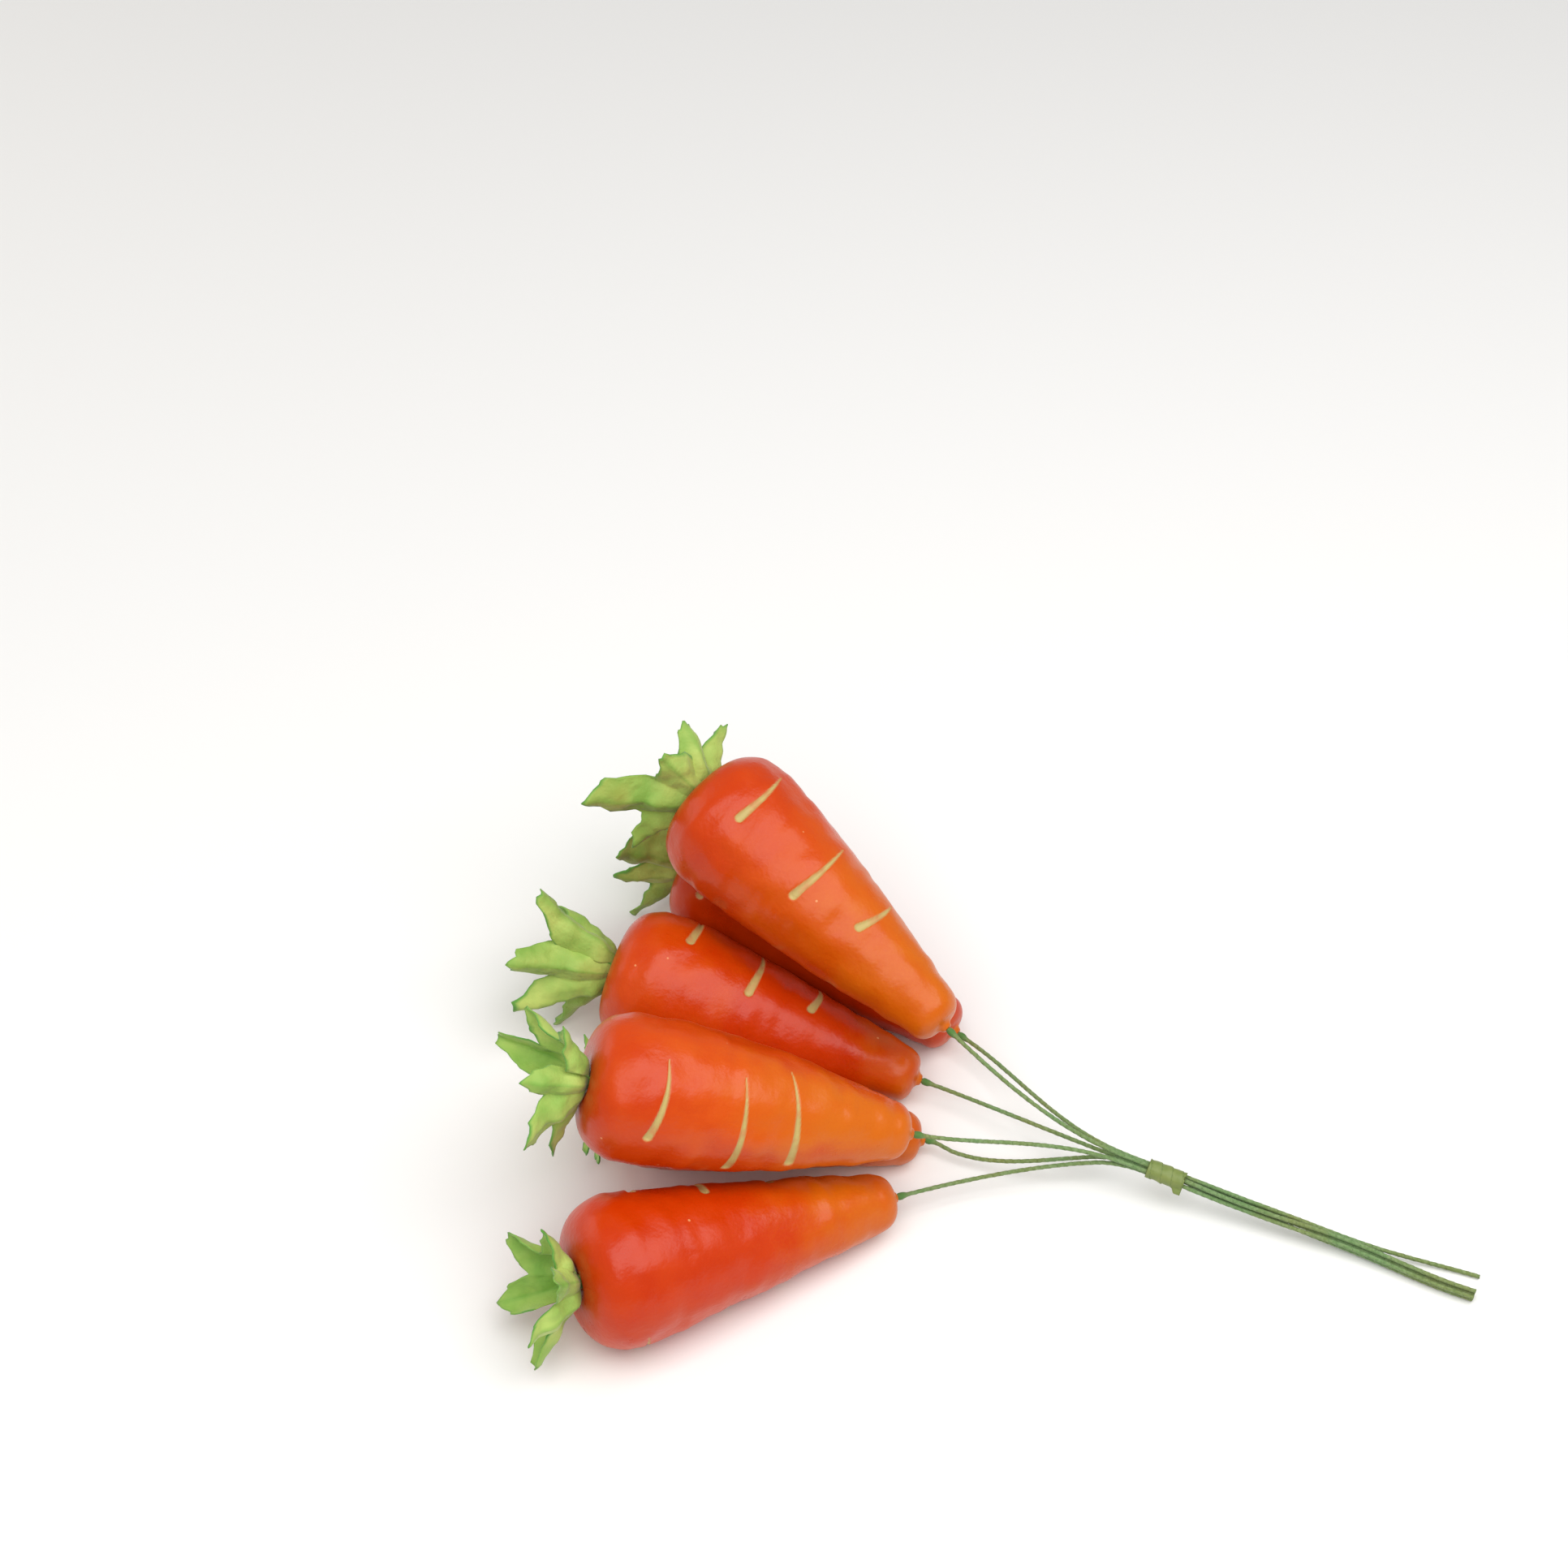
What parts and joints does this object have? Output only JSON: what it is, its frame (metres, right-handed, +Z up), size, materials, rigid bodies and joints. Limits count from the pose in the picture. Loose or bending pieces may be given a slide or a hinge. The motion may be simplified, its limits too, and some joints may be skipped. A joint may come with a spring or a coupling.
{
  "type": "artificial carrot bunch",
  "caption": "Decorative bunch of small artificial carrots with cut leaf tufts, on paper-wrapped wire stems bound together with tape; lies on a flat surface.",
  "frame": {"origin": "centre of the bunch's bounding box in plan, at the level of the surface it lies on", "axes": "+X along the stems, from the leaf tufts towards the cut feet of the stems; +Z up from the surface; +Y across the pile"},
  "size_m": [0.2118, 0.14, 0.0626],
  "materials": {
    "foam": "painted foam, waxy semi-gloss",
    "paper_wrap": "crepe paper wound over wire, matte",
    "binding_tape": "waxed florist's tape, dull",
    "leaf_fabric": "stiffened cloth, matte"
  },
  "bodies": {
    "root": {"carrot_back_upper": "foam", "carrot_back_lower": "foam", "carrot_middle": "foam", "carrot_front_upper": "foam", "carrot_front_lower": "foam", "carrot_outer": "foam", "wire_back_upper": "paper_wrap", "wire_back_lower": "paper_wrap", "wire_middle": "paper_wrap", "wire_front_upper": "paper_wrap", "wire_front_lower": "paper_wrap", "wire_outer": "paper_wrap", "tape": "binding_tape", "leaf_back_upper_1": "leaf_fabric", "leaf_back_upper_2": "leaf_fabric", "leaf_back_lower_1": "leaf_fabric", "leaf_back_lower_2": "leaf_fabric", "leaf_middle_1": "leaf_fabric", "leaf_middle_2": "leaf_fabric", "leaf_front_upper_1": "leaf_fabric", "leaf_front_upper_2": "leaf_fabric", "leaf_front_lower_1": "leaf_fabric", "leaf_front_lower_2": "leaf_fabric", "leaf_outer_1": "leaf_fabric", "leaf_outer_2": "leaf_fabric"}
  },
  "joints": []
}
